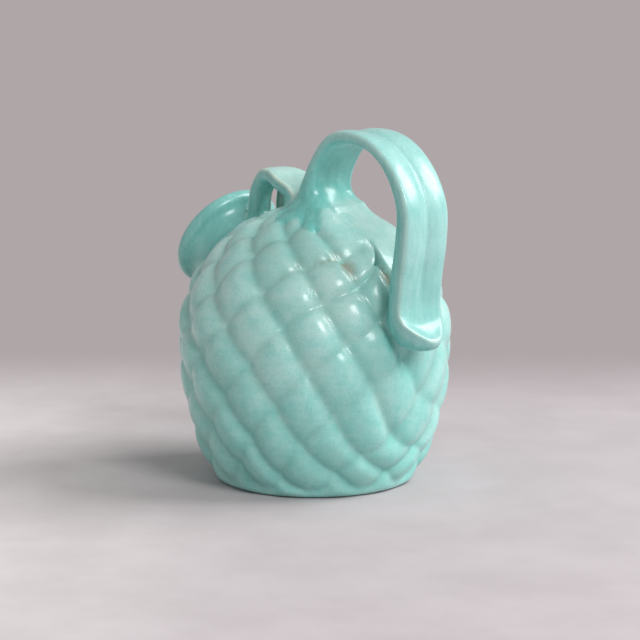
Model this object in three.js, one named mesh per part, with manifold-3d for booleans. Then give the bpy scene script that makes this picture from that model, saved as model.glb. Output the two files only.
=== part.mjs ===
// Pineapple jug in glazed earthenware: a hollow quilted body, a rolled mouth collar,
// a strap handle that ends in a curled tongue, and a small loop between the two.
// Millimetres, +Z up. The origin is the middle of the flat base. The mouth looks
// towards -X and the handle stands on the +X side, both on the plane y = 0.

import * as THREE from 'three';
import { mergeVertices } from 'three/addons/utils/BufferGeometryUtils.js';
import Module from 'manifold-3d';

const wasm = await Module();
wasm.setup();

const { clamp, degToRad, lerp, smoothstep } = THREE.MathUtils;

// Body form
const BODY_RADIUS = 82.5;       // to the crests of the pillows
const SHOULDER_HEIGHT = 84.7;   // height of the widest ring, centre of the domed top
const BOWL_DEPTH = 122;         // half axis of the elliptical bowl under the widest ring
const FOOT_ROUNDING = 5;        // height of the rounded edge round the base
const WALL = 3.2;               // clay left behind the bottoms of crossing grooves
const FLOOR = 7;                // clay in the middle of the base
const JOINT_GAP = 0.3;          // room for slip between luted pieces

// Quilting, two families of grooves that cross into diamonds
const PILLOW_COUNT = 13;        // round the body
const ROW_PITCH = 21.5;         // along the profile, from one row of crossings to the next
const ROW_LEVEL = 17;           // row zero above the widest ring, along the profile
const ROW_DIP = 18;             // how far the rows drop under the handle
const DIP_SPREAD = 34;          // degrees
const ROW_LEAN = 0.13;          // how much each row up draws the crossings to the handle
const LEAN_SPREAD = 45;         // degrees
const CALM_BELOW = 3;           // rows over which the dip and the lean die out at the base
const CALM_ABOVE = 2.2;         // and at the top of the dome
const DEEP_GROOVE = 3;          // grooves that fall towards the handle
const SHALLOW_GROOVE = 1.8;     // grooves that rise towards the handle
const SMOOTH_FOOT = 12;         // plain band over the base, along the profile
const SMOOTH_CROWN = 28;        // plain cap under the handle root, along the profile

// Mouth collar, a short neck with a rolled lip
const MOUTH_TILT = 32.5;        // degrees above the horizon
const MOUTH_BORE = 22;          // radius of the way through
const NECK_RADIUS = 27.5;
const LIP_RADIUS = 30.5;        // middle of the roll
const LIP_ROLL = 5;             // radius of the roll
const LIP_STAND = 16;           // middle of the roll above the dome
const COLLAR_FOOT = 34;         // radius where the neck spreads on the dome

// Handle strap
const STRAP_WIDTH = 32.4;
const STRAP_THICKNESS = 7.6;
const STRAP_EDGE = 2.4;         // rounding of its edges
const FLUTE_DEPTH = 1.6;        // channel down the middle of its outer face
const ROOT_X = 8;               // where the strap leaves the dome
const ROOT_DEPTH = 15;          // start of the strap's middle line below the dome's top
const ROOT_SPREAD = 7;          // extra width at the root
const ROOT_SWELL = 5;           // extra thickness at the root
const ROOT_FADE = 6;            // height over which the root narrows to the strap
const SKIRT_HALF_SIZE = [15, 27];       // clay pressed out round the root, along X and Y
const SKIRT_ASIDE = 9;          // how far the skirt is drawn to the near side
const SKIRT_PROFILE = [[1, -12], [0.97, -8.4], [0.72, -3.6], [0.5, 0.3], [0.3, 5.8]];
const TAB_HALF_SIZE = [16, 7.5, 3.5];   // thumbed tab of clay on the near side
const TAB_TILT = 24;            // degrees
const HANDLE_RISE = 42.5;       // strap's middle line above the dome
const HANDLE_ARCH = [
  [-0.01, 0.09], [0.08, 0.55], [0.26, 0.94], [0.47, 1], [0.695, 0.88], [0.89, 0.55], [1, 0.11],
  [1, -0.34],
];
const HANDLE_STAND = 10.8;      // strap's middle line beyond the body
const TONGUE_REACH = 13;        // curled end beyond the strap
const TONGUE_LENGTH = 21;       // stretch that narrows to the round end
const TONGUE_DISH = 4;          // how far its sides turn up
const TONGUE_SWELL = 5;         // extra thickness over the pad
const PAD_HEIGHT = 108;         // middle of the clay pad that joins strap and body
const PAD_HALF_HEIGHT = 16;
const PAD_HALF_WIDTH = 12.5;

// Small loop between the collar and the handle root
const LOOP_THICKNESS = 6;
const LOOP_WIDTH_FRONT = 14;
const LOOP_WIDTH_BACK = 32;
const LOOP_SWELL = 4;           // extra thickness of the back leg
const LOOP_RISE = 15;           // middle line above the dome
const LOOP_FRONT = 53;          // middle line of the front leg ahead of the axis
const LOOP_BACK = 3;            // middle line of the back leg ahead of the axis
const LOOP_DEPTH = 26;          // start of its middle line below the dome's top
const LOOP_ARCH = [
  [0, -0.53], [0.06, 0.33], [0.24, 0.93], [0.44, 1], [0.7, 0.73], [0.9, 0.4], [1, -0.07],
];

// Facets
const FINE = 3;                 // mesh steps between neighbouring crossings
const FOOT_RINGS = 3;           // steps round the edge of the base
const LEAST_ROW = 0.15;         // shortest step between rings, in rows
const COLLAR_FACETS = 40;
const CAVITY_FACETS = 30;
const STRAP_STEPS = 44;
const TIP_STEPS = 8;
const LOOP_STEPS = 26;

const domeTop = SHOULDER_HEIGHT + BODY_RADIUS;
const skin = DEEP_GROOVE + SHALLOW_GROOVE + WALL;

// Solids

function toManifold(geometry) {
  const bare = geometry.clone();
  for (const name of ['normal', 'uv']) bare.deleteAttribute(name);
  const merged = mergeVertices(bare, 1e-4);
  const index = merged.index.array;
  const triVerts = [];
  for (let i = 0; i < index.length; i += 3) {
    const [a, b, c] = index.slice(i, i + 3);
    if (a !== b && b !== c && c !== a) triVerts.push(a, b, c);
  }
  return new wasm.Manifold(new wasm.Mesh({
    numProp: 3,
    vertProperties: new Float32Array(merged.attributes.position.array),
    triVerts: new Uint32Array(triVerts),
  }));
}

function toGeometry(manifold) {
  const { vertProperties, triVerts } = manifold.getMesh();
  const geometry = new THREE.BufferGeometry();
  geometry.setAttribute('position', new THREE.BufferAttribute(vertProperties, 3));
  geometry.setIndex(new THREE.BufferAttribute(triVerts, 1));
  const flat = geometry.toNonIndexed();
  flat.computeVertexNormals();
  return flat;
}

// Closed skin over rings of equal count, with a middle point at each end
function loft(rings, startMiddle, endMiddle) {
  const count = rings[0].length;
  const points = [startMiddle, ...rings.flat(), endMiddle];
  const last = points.length - 1;
  const at = (ring, step) => 1 + ring * count + ((step + count) % count);
  const index = [];
  for (let k = 0; k < count; k += 1) {
    index.push(0, at(0, k), at(0, k + 1));
    index.push(last, at(rings.length - 1, k + 1), at(rings.length - 1, k));
    for (let r = 0; r + 1 < rings.length; r += 1) {
      index.push(at(r, k), at(r + 1, k + 1), at(r, k + 1));
      index.push(at(r, k), at(r + 1, k), at(r + 1, k + 1));
    }
  }
  return new THREE.BufferGeometry().setFromPoints(points).setIndex(index);
}

// Body profile from the base edge to the top of the dome, as radius and height

function bodyProfile() {
  const edgeAngle = Math.asin((FOOT_ROUNDING - SHOULDER_HEIGHT) / BOWL_DEPTH);
  const baseAngle = Math.asin(-SHOULDER_HEIGHT / BOWL_DEPTH);
  const baseRadius = BODY_RADIUS * Math.cos(baseAngle);
  const edge = new THREE.Vector2(BODY_RADIUS * Math.cos(edgeAngle), FOOT_ROUNDING);
  const profile = new THREE.CurvePath();
  profile.add(new THREE.QuadraticBezierCurve(
    new THREE.Vector2(baseRadius - FOOT_ROUNDING, 0), new THREE.Vector2(baseRadius, 0), edge));
  profile.add(new THREE.EllipseCurve(
    0, SHOULDER_HEIGHT, BODY_RADIUS, BOWL_DEPTH, edgeAngle, 0));
  profile.add(new THREE.EllipseCurve(
    0, SHOULDER_HEIGHT, BODY_RADIUS, BODY_RADIUS, 0, Math.PI / 2));
  return profile;
}

const profile = bodyProfile();
const [edgeLength, bowlLength, wholeLength] = profile.getCurveLengths();
const belowShoulder = bowlLength;
const aboveShoulder = wholeLength - bowlLength;
const lowestRow = (-belowShoulder - ROW_LEVEL) / ROW_PITCH;
const highestRow = (aboveShoulder - ROW_LEVEL) / ROW_PITCH;

// Crossings lie where column and row are both even or both odd. Column zero is the
// middle of the back, under the handle, and rows count upwards.

function rowFade(row) {
  return smoothstep(row, lowestRow, lowestRow + CALM_BELOW)
    * (1 - smoothstep(row, highestRow - CALM_ABOVE, highestRow));
}

function bell(angle, spread) {
  return Math.exp(-((angle / degToRad(spread)) ** 2));
}

function placeOnBody(column, row) {
  const around = (column * Math.PI) / PILLOW_COUNT;
  const fade = rowFade(row);
  const angle = around * (1 - ROW_LEAN * row * fade * bell(around, LEAN_SPREAD));
  const along = ROW_LEVEL + row * ROW_PITCH - ROW_DIP * fade * bell(around, DIP_SPREAD);
  return { angle, along };
}

// A groove is a sharp line with a parabola of clay rising on each side of it
function valley(line) {
  return (1 - 2 * Math.abs(line - Math.round(line))) ** 2;
}

const mouthAxis = new THREE.Vector3(
  -Math.cos(degToRad(MOUTH_TILT)), 0, Math.sin(degToRad(MOUTH_TILT)));
const shoulder = new THREE.Vector3(0, 0, SHOULDER_HEIGHT);

// Depth of the grooves at a place on the plain form. They fade out over the base, under
// the handle root and round the foot of the collar.
function grooveDepth(column, row, angle, along, point) {
  const farSide = smoothstep(Math.sin(angle), -0.2, 0.2);
  const falling = lerp(DEEP_GROOVE, SHALLOW_GROOVE, farSide);
  const rising = lerp(SHALLOW_GROOVE, DEEP_GROOVE, farSide);
  const offAxis = point.clone().sub(shoulder).cross(mouthAxis).length();
  const facesMouth = point.clone().sub(shoulder).dot(mouthAxis) > 0;
  const clear = smoothstep(along, SMOOTH_FOOT / 3 - belowShoulder, SMOOTH_FOOT - belowShoulder)
    * (1 - smoothstep(along, aboveShoulder - SMOOTH_CROWN, aboveShoulder - SMOOTH_CROWN / 2))
    * (facesMouth ? smoothstep(offAxis, COLLAR_FOOT - 2, COLLAR_FOOT + 8) : 1);
  return clear * (falling * valley((column + row) / 2) + rising * valley((column - row) / 2));
}

function pointOnBody(column, row, proud) {
  const { angle, along } = placeOnBody(column, row);
  const share = clamp((along + belowShoulder) / wholeLength, 0, 1);
  const { x: radius, y: height } = profile.getPointAt(share);
  const tangent = profile.getTangentAt(share);
  const direction = new THREE.Vector3(Math.cos(angle), Math.sin(angle), 0);
  const point = direction.clone().multiplyScalar(radius).setZ(height);
  const outward = direction.multiplyScalar(tangent.y).setZ(-tangent.x);
  const depth = grooveDepth(column, row, angle, along, point);
  return point.addScaledVector(outward, proud - depth);
}

// Quilted skin on a grid of columns and rows. Each square is split along the diagonal
// that a groove runs on, or else a crest, so both families stay sharp.
function quiltedForm(proud) {
  const columns = 2 * PILLOW_COUNT * FINE;
  const rows = [];
  for (let k = 0; k <= FOOT_RINGS; k += 1) {
    rows.push(lowestRow + (k / FOOT_RINGS) * (edgeLength / ROW_PITCH));
  }
  const first = Math.ceil((rows.at(-1) + LEAST_ROW) * FINE);
  for (let k = first; k / FINE < highestRow - LEAST_ROW; k += 1) rows.push(k / FINE);

  const columnAt = (k) => k / FINE - PILLOW_COUNT;
  const points = rows.flatMap((row) => Array.from(
    { length: columns }, (_, k) => pointOnBody(columnAt(k), row, proud)));
  const at = (r, k) => r * columns + (k % columns);
  const index = [];
  for (let r = 0; r + 1 < rows.length; r += 1) {
    for (let k = 0; k < columns; k += 1) {
      const [a, b, c, d] = [at(r, k), at(r, k + 1), at(r + 1, k + 1), at(r + 1, k)];
      const across = Math.abs(Math.round((columnAt(k) - rows[r]) * FINE));
      const along = Math.abs(Math.round((columnAt(k + 1) + rows[r]) * FINE));
      const rising = across % (2 * FINE) === 0
        || (along % (2 * FINE) !== 0 && across % FINE === 0);
      if (rising) index.push(a, b, c, a, c, d);
      else index.push(a, b, d, b, c, d);
    }
  }
  const base = points.length;
  points.push(new THREE.Vector3(0, 0, -proud), new THREE.Vector3(0, 0, domeTop + proud));
  for (let k = 0; k < columns; k += 1) {
    index.push(base, at(0, k + 1), at(0, k));
    index.push(base + 1, at(rows.length - 1, k), at(rows.length - 1, k + 1));
  }
  return new THREE.BufferGeometry().setFromPoints(points).setIndex(index);
}

// Room inside the body, from its floor to the underside of the dome
function cavity() {
  const inner = BODY_RADIUS - skin;
  const bowl = BOWL_DEPTH - skin;
  const floorAngle = Math.asin((FLOOR - SHOULDER_HEIGHT) / bowl);
  const points = [new THREE.Vector2(0, FLOOR)];
  const steps = 8;
  for (let k = 0; k < steps; k += 1) {
    const angle = floorAngle * (1 - k / steps);
    points.push(new THREE.Vector2(
      inner * Math.cos(angle), SHOULDER_HEIGHT + bowl * Math.sin(angle)));
  }
  for (let k = 0; k < steps; k += 1) {
    const angle = (Math.PI / 2) * (k / steps);
    points.push(new THREE.Vector2(
      inner * Math.cos(angle), SHOULDER_HEIGHT + inner * Math.sin(angle)));
  }
  points.push(new THREE.Vector2(0, SHOULDER_HEIGHT + inner));
  return new THREE.LatheGeometry(points, CAVITY_FACETS).rotateX(Math.PI / 2);
}

// Turns a lathed piece about the vertical on to the mouth axis
function aimAtMouth(geometry) {
  return geometry
    .rotateX(Math.PI / 2)
    .rotateY(degToRad(MOUTH_TILT - 90))
    .translate(0, 0, SHOULDER_HEIGHT);
}

function neckWay() {
  const reach = BODY_RADIUS + LIP_STAND;
  const way = new THREE.CylinderGeometry(MOUTH_BORE, MOUTH_BORE, reach / 2, COLLAR_FACETS);
  return aimAtMouth(way.translate(0, reach * 0.75, 0));
}

// Collar section, closed on itself: bore, rolled lip, waisted neck and spreading foot
function collarForm(grow) {
  const lipLevel = BODY_RADIUS + LIP_STAND;
  const roll = LIP_ROLL + grow;
  const section = [
    new THREE.Vector2(MOUTH_BORE - grow, BODY_RADIUS - skin),
    new THREE.Vector2(COLLAR_FOOT + grow, BODY_RADIUS - skin),
  ];
  const footLevel = Math.sqrt(BODY_RADIUS ** 2 - COLLAR_FOOT ** 2);
  const neck = new THREE.CubicBezierCurve(
    new THREE.Vector2(COLLAR_FOOT + grow, footLevel),
    new THREE.Vector2(NECK_RADIUS + grow, footLevel + 4),
    new THREE.Vector2(NECK_RADIUS + grow - 1, lipLevel - LIP_ROLL - 3),
    new THREE.Vector2(LIP_RADIUS + roll * Math.cos(degToRad(-60)), lipLevel + roll * Math.sin(degToRad(-60))));
  section.push(...neck.getPoints(6));
  for (let turn = -30; turn <= 180; turn += 30) {
    section.push(new THREE.Vector2(
      LIP_RADIUS + roll * Math.cos(degToRad(turn)), lipLevel + roll * Math.sin(degToRad(turn))));
  }
  section.push(new THREE.Vector2(MOUTH_BORE - grow, lipLevel - 2 * LIP_ROLL));
  section.push(section[0].clone());
  return aimAtMouth(new THREE.LatheGeometry(section, COLLAR_FACETS));
}

// Strap section across (along Y) and through (positive on the outer face)
function strapSection(width, thickness, flute, cup) {
  const half = width / 2;
  const edge = Math.min(STRAP_EDGE, thickness * 0.4, half * 0.4);
  const inset = edge * (1 - Math.SQRT1_2);
  const top = thickness / 2;
  const side = [
    [half * 0.2, top - flute * 0.55],
    [half * 0.45, top],
    [half - edge, top - flute * 0.15],
    [half - inset, top - inset],
    [half, top - edge],
    [half, edge - top],
    [half - inset, inset - top],
    [half - edge, -top],
  ];
  const right = [[0, top - flute], ...side, [0, -top]];
  const left = side.map(([y, n]) => [-y, n]).reverse();
  return [...right, ...left].map(([y, n]) => [y, n - cup * (y / half) ** 2]);
}

// Strap swept along a route in the plane y = 0, with its sections drawn closer together
// towards the round of its tip
function sweepStrap(route, steps, tip, sizeAt, startAhead, endAhead) {
  const curve = new THREE.CatmullRomCurve3(
    route.map(([x, z]) => new THREE.Vector3(x, 0, z)), false, 'centripetal');
  const length = curve.getLength();
  const tipSteps = tip > 0 ? TIP_STEPS : 0;
  const shares = [];
  for (let k = 0; k <= steps; k += 1) shares.push((k / steps) * (1 - tip / length));
  for (let k = 1; k <= tipSteps; k += 1) {
    shares.push(1 - (tip / length) * (1 - Math.sin((Math.PI / 2) * (k / tipSteps))));
  }
  const rings = [];
  for (const share of shares) {
    const middle = curve.getPointAt(share);
    const tangent = curve.getTangentAt(share);
    const outward = new THREE.Vector3(-tangent.z, 0, tangent.x);
    const { width, thickness, flute, cup } = sizeAt(share * length, length);
    rings.push(strapSection(width, thickness, flute, cup).map(
      ([y, n]) => middle.clone().addScaledVector(outward, n).setY(y)));
  }
  const start = curve.getPointAt(0).addScaledVector(curve.getTangentAt(0), -startAhead);
  const end = curve.getPointAt(1).addScaledVector(curve.getTangentAt(1), endAhead);
  return loft(rings, start, end);
}

// Arch over the dome, from shares of its span and of its rise
function arch(shares, from, to, rise) {
  return shares.map(([across, up]) => [lerp(from, to, across), domeTop + rise * up]);
}

function handleStrap(grow) {
  const leg = BODY_RADIUS + HANDLE_STAND;
  const route = [
    [ROOT_X, domeTop - ROOT_DEPTH],
    ...arch(HANDLE_ARCH, ROOT_X, leg, HANDLE_RISE),
    [leg - STRAP_THICKNESS / 2, lerp(PAD_HEIGHT, domeTop, 0.37)],
    [leg - STRAP_THICKNESS * 0.8, PAD_HEIGHT + PAD_HALF_HEIGHT * 0.3],
    [leg - 1, PAD_HEIGHT - PAD_HALF_HEIGHT * 0.56],
    [leg + TONGUE_REACH, PAD_HEIGHT - PAD_HALF_HEIGHT * 0.94],
  ];
  return sweepStrap(route, STRAP_STEPS, TONGUE_LENGTH, (at, length) => {
    const root = Math.exp(-Math.max(at - ROOT_DEPTH, 0) / ROOT_FADE);
    const left = Math.min((length - at) / TONGUE_LENGTH, 1);
    const round = Math.sqrt(Math.max(1 - (1 - left) ** 2, 0.01));
    const belly = Math.exp(-((((length - at) / TONGUE_LENGTH - 0.75) / 0.45) ** 2));
    return {
      width: (STRAP_WIDTH + ROOT_SPREAD * root) * round + 2 * grow,
      thickness: STRAP_THICKNESS * (0.45 + 0.55 * round)
        + ROOT_SWELL * root + TONGUE_SWELL * belly + 2 * grow,
      flute: FLUTE_DEPTH * round,
      cup: -TONGUE_DISH * (1 - left) * round,
    };
  }, 0, grow);
}

// Ball of clay pressed to three half axes, turned about Z and tilted down along its length
function clayLump([long, wide, high], [x, y, z], turn, tilt, grow) {
  const lump = new THREE.SphereGeometry(1, 20, 12);
  lump.scale(long + grow, wide + grow, high + grow);
  lump.rotateY(degToRad(tilt)).rotateZ(degToRad(turn)).translate(x, y, z);
  return toManifold(lump);
}

// Skirt with a hollow flank, widest on the dome
function claySkirt([long, wide], grow) {
  const section = [
    new THREE.Vector2(0, SKIRT_PROFILE[0][1]),
    ...SKIRT_PROFILE.map(([share, height]) => new THREE.Vector2(share, height + grow)),
    new THREE.Vector2(0, SKIRT_PROFILE.at(-1)[1] + grow),
  ];
  const skirt = new THREE.LatheGeometry(section, 28).rotateX(Math.PI / 2);
  skirt.scale(long + grow, wide + grow, 1).translate(ROOT_X, -SKIRT_ASIDE, domeTop);
  return toManifold(skirt);
}

// The pad joins the strap's lower end to the body. The skirt spreads round the root on
// the dome, and the thumb tab runs from it down the near side.
function handleForm(grow) {
  const pad = clayLump(
    [HANDLE_STAND - 2, PAD_HALF_WIDTH, PAD_HALF_HEIGHT], [BODY_RADIUS - 1, 0, PAD_HEIGHT], 0, 0, grow);
  const tab = clayLump(TAB_HALF_SIZE, [ROOT_X + 12, -18, domeTop - 6.5], -45, TAB_TILT, grow);
  return toManifold(handleStrap(grow)).add(pad).add(tab).add(claySkirt(SKIRT_HALF_SIZE, grow));
}

function bridgeLoop() {
  const route = [
    [-LOOP_FRONT, domeTop - LOOP_DEPTH],
    ...arch(LOOP_ARCH, -LOOP_FRONT, -LOOP_BACK, LOOP_RISE),
    [-LOOP_BACK, domeTop - LOOP_DEPTH / 2],
  ];
  return sweepStrap(route, LOOP_STEPS, 0, (at, length) => ({
    width: lerp(LOOP_WIDTH_FRONT, LOOP_WIDTH_BACK, smoothstep(at, length * 0.25, length * 0.75)),
    thickness: LOOP_THICKNESS + LOOP_SWELL * smoothstep(at, length * 0.6, length * 0.85),
    flute: 0.5,
    cup: 0,
  }), 0, 0);
}

// The trimmed ends of a strap that pass through a neighbour are dropped
function largest(manifold) {
  return manifold.decompose().reduce((a, b) => (b.volume() > a.volume() ? b : a));
}

// Pieces, each cut back from its neighbour by the joint gap

const seat = toManifold(quiltedForm(JOINT_GAP));
const bodySolid = toManifold(quiltedForm(0))
  .subtract(toManifold(cavity()))
  .subtract(toManifold(neckWay()));
const collarSolid = toManifold(collarForm(0)).subtract(seat);
const handleSolid = handleForm(0).subtract(seat);
const loopSolid = largest(toManifold(bridgeLoop())
  .subtract(seat)
  .subtract(toManifold(collarForm(JOINT_GAP)))
  .subtract(handleForm(JOINT_GAP)));

const paleGlaze = new THREE.MeshStandardMaterial({ color: 0x8fcfc4, roughness: 0.22, metalness: 0 });
const deepGlaze = new THREE.MeshStandardMaterial({ color: 0x5fb9ab, roughness: 0.18, metalness: 0 });

function piece(name, manifold, material) {
  const mesh = new THREE.Mesh(toGeometry(manifold), material.clone());
  mesh.name = name;
  return mesh;
}

const jug = new THREE.Group();
jug.name = 'pineapple_jug';
jug.add(piece('body', bodySolid, paleGlaze));
jug.add(piece('mouth_collar', collarSolid, deepGlaze));
jug.add(piece('handle_strap', handleSolid, deepGlaze));
jug.add(piece('bridge_loop', loopSolid, deepGlaze));

export default jug;
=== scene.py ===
import math

import bpy
import numpy as np
from mathutils import Matrix, Vector


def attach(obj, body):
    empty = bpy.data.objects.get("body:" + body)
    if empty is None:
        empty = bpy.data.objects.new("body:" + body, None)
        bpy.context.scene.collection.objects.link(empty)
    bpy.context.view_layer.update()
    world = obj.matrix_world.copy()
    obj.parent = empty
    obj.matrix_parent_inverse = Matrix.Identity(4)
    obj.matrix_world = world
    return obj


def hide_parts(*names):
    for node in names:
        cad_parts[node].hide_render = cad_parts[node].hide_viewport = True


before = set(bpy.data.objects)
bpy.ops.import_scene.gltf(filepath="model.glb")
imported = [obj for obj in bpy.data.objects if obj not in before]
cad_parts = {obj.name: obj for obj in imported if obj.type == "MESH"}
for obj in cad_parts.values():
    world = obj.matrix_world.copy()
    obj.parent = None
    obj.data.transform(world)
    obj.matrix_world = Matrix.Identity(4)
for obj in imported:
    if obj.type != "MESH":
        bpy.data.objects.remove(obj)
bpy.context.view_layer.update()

# Pineapple jug. Sizes are in millimetres until a mesh is written, which is in metres.
# Angles and their spreads are in degrees among the sizes, and in radians in the sums.
MM = 0.001
TINY = 1e-6  # keeps a division away from nought

# Body form
BODY_RADIUS = 82.5
SHOULDER_HEIGHT = 84.7
BOWL_DEPTH = 122.0
FOOT_ROUNDING = 5.0
WALL = 8.0  # from the pillows' crests to the room inside
FLOOR = 7.0
DOME_TOP = SHOULDER_HEIGHT + BODY_RADIUS
FOOT_STEPS = 60  # points on the rounded edge of the foot
PROFILE_STEPS = 500  # points on the bowl, and as many on the dome

# Quilting. Columns are counted round the body from the handle, and rows up it.
PILLOW_COUNT = 13
ROW_PITCH = 21.5
ROW_LEVEL = 17.0  # height of row nought above the shoulder
ROW_DIP = 18.0  # how far the rows hang down under the handle
DIP_SPREAD = 34.0
ROW_LEAN = 0.13  # how much the columns draw in towards the handle, for each row
LEAN_SPREAD = 45.0
LEAN_LIMITS = (-0.5, 0.7)
CALM_BELOW = 3.0  # rows in which dip and lean die out at the foot
CALM_ABOVE = 2.2  # and at the crown
QUILT_STEPS = 14  # mesh steps between neighbouring crossings
FOOT_ROWS = 7  # mesh rows on the rounded edge of the foot
# Crossings that the potter's hand moved: column, row, degrees round, millimetres up
PUSHES = [
    (-2, 4, 14, -15), (-3, 3, 4, -9), (-2, 2, 1, -3), (-4, 2, 3, 1), (-5, 3, 2, 0),
    (-4, 0, 0, 4), (-6, 2, -1, 5), (-8, 0, -2, -5), (-7, -1, -1, 4), (-4, -4, -2, -5),
    (-1, -1, 0, 5), (0, -2, -2, -4), (1, -1, -4, -6),
]
PUSH_SPREAD = 1.5

# Grooves
DEEP_GROOVE = 3.3
SHALLOW_GROOVE = 1.8
SHALLOW_GAIN = 1.5  # how much deeper the shallow grooves are in the upper rows
SHALLOW_ROWS = (-2, 1.5)  # rows between which they deepen
BAND_CREST = 0.6  # where a band stands highest, as a share of its width
BAND_RISE = 2.0  # how sharply a band rises to its crest
BAND_ROLL = 2.1  # and how sharply it rolls over behind it
CREASE_SHARPNESS = 2.7
GROOVE_SOFTNESS = 0.14  # rounding of the bottom of a groove, as a share of its depth
PILLOW_UNEVENNESS = 0.4  # how far one pillow stands above another
SCATTER = (12.9898, 78.233, 43758.5453)  # turns a pillow's place into its own height
SIDE_BAND = 0.2  # where the two families change places, as a share of the radius
RELIEF_REACH = 9.0  # how far off the plain form the grooves are worked out
SHALLOW_NOTE = 0.7  # how much of a shallow groove the glaze feels

# Places where the quilting dies out
SMOOTH_FOOT = 12.0
SMOOTH_CROWN = 28.0
HANDLE_CROWN = 55.0  # how much farther down the crown is plain, towards the handle
HANDLE_CROWN_TURN = 26.0
HANDLE_CROWN_SPREAD = 29.0
CROWN_FADE = 0.72  # where the grooves have gone, as a share of the plain length
COLLAR_CALM = (-2, 8)  # from the collar's foot outwards, where grooves come back
# Rubbed-out places behind the handle's root: x, y, z and reach
PLAIN_SPOTS = [(36, -12, 158, 15), (46, -6, 153, 13), (55, 8, 147, 17), (63, 12, 138, 15)]
LOOP_HOLLOW = 2.4  # how far the crown is sunk under the small loop
HOLLOW_AT = (-27, -9)
HOLLOW_SPREAD = 170

# Mouth collar
MOUTH_TILT = 32.5
MOUTH_BORE = 22.0
NECK_RADIUS = 27.5
LIP_RADIUS = 30.5
LIP_ROLL = 5.0
LIP_STAND = 16.0
LIP_TURNS = (-52, 180, 8)  # first and last angle round the roll, and the step
LIP_START = (0.5, 0.866)  # where the neck meets the roll, as shares of its radius
COLLAR_FOOT = 34.0
FOOT_SPREAD = 2.0  # how far the neck runs out past the collar's foot
NECK_BENDS = ((-0.5, 4), (-1, -3))  # inwards, and up from the foot or from the roll
THROAT_LEVELS = (0.5, 5, 11)  # start, bend and end, down from the lip
COLLAR_CLEAR = 0.5  # how far its lower end stays off the room inside
COLLAR_STEPS = 160  # mesh steps round it

# Handle strap
STRAP_WIDTH = 33.4
STRAP_THICKNESS = 7.6
STRAP_EDGE = 2.0
SOFTER_INSIDE = 1.6  # how much rounder the edges of the inner face are
LEG_SWELL = 3.6  # how much thicker the leg grows, towards the body
LEG_CROWN = 0.8  # and away from it
LEG_GROWTH = (135, 60)  # from where to where it thickens, back from the tip
LEG_END = (42, 16)  # from where to where that fades, back from the tip
LEG_END_FADE = 0.8
FLUTE_DEPTH = 2.0
FLUTE_PARTS = [(0.11, 0.35), (0.34, 0.65)]  # width and share of its two widths
FLUTE_END = (0.9, 2.2)  # where it fades, in tongue lengths back from the tip
FACE_FALL = 1.5  # how far the outer face falls away to its sides
ROOT_X = 8.0
ROOT_DEPTH = 15.0
ROOT_SPREAD = 7.0
ROOT_SWELL = 5.0
ROOT_FADE = 6.0
ROOT_FLARE = 7.0
FLARE_FADE = 9.0
HANDLE_RISE = 42.5
HANDLE_STAND = 10.8
# Stops on its route: shares of the way out to the leg, and of the rise
HANDLE_ARCH = [
    (-0.01, 0.09), (0.08, 0.55), (0.26, 0.94), (0.47, 1.0), (0.695, 0.88), (0.89, 0.55),
    (1.0, 0.11), (1.0, -0.34),
]
HANDLE_STEPS = 380  # points on that route
TONGUE_REACH = 8.5
TONGUE_HEIGHT = 94.0
TONGUE_LENGTH = 23.0
TONGUE_DISH = 5.5
TONGUE_SCOOP = 2.0
TONGUE_SWELL = 6.0
TONGUE_SLANT = 2.5  # how far the tip lies towards the far side
TONGUE_TAPER = 0.8  # how much of that its sides lose
TIP_THICKNESS = 0.4  # as a share of the strap's
PAD_HEIGHT = 108.0
PAD_HALF_HEIGHT = 16.0
PAD_HALF_WIDTH = 12.5
# Lumps luted to the strap: half sizes, middle, turn, tilt and fillet
HANDLE_LUMPS = [
    ((HANDLE_STAND - 2, PAD_HALF_WIDTH, PAD_HALF_HEIGHT), (BODY_RADIUS - 1, 0, PAD_HEIGHT),
     0, 0, 3),  # pad
    ((13, 6, 3), (ROOT_X + 12, -18.5, DOME_TOP - 7), -45, 27, 5),  # thumbed tab
    ((12, 7, 3), (ROOT_X - 1, -21, DOME_TOP - 4.6), -95, 21, 5),  # lobe beside it
    ((4.5, 8, 12), (ROOT_X + 8, -5, DOME_TOP - 1), 0, -18, 12),  # ridge behind
]

# Small loop
LOOP_THICKNESS = 6.0
LOOP_EDGE = 1.2
LOOP_SOFTER_INSIDE = 4.2
LOOP_WIDTH_FRONT = 14.0
LOOP_WIDTH_BACK = 32.0
LOOP_WIDENS = (0.25, 0.75)  # along its length
LOOP_SWELL = 4.0
LOOP_SWELLS = (0.6, 0.85)
LOOP_BELLY = 4.5
LOOP_BELLY_ENDS = (0.6, 0.8)
LOOP_FALL = 1.0  # how far its outer face falls away to its sides
LOOP_FLUTE = 0.4
LOOP_FLUTE_WIDTH = 0.3
LOOP_RISE = 15.0
LOOP_FRONT = 53.0
LOOP_BACK = 3.0
LOOP_DEPTH = 26.0
LOOP_ARCH = [
    (0.0, -0.53), (0.06, 0.33), (0.24, 0.93), (0.44, 1.0), (0.7, 0.73), (0.9, 0.4),
    (1.0, -0.07),
]
LOOP_STEPS = 160
LOOP_WALL = ((4.0, 3.5, 14), (-43, 11, DOME_TOP - 3), 0, 8)  # a lump, as above
LOOP_WALL_FILLET = 4

# Fillets where the clay runs together
COLLAR_FILLET = 4.0
LOOP_FILLET = 5.0
THIN_FILLET = 4.0  # under the tab and round the pad
ROOT_FILLET = 9.0
ROOT_FILLET_GAIN = 5.0  # how much rounder it is behind the root
BEHIND_ROOT = (8, 16)  # x
BESIDE_ROOT = (-26, -12)  # y
PAD_FROM = 50  # x

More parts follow.
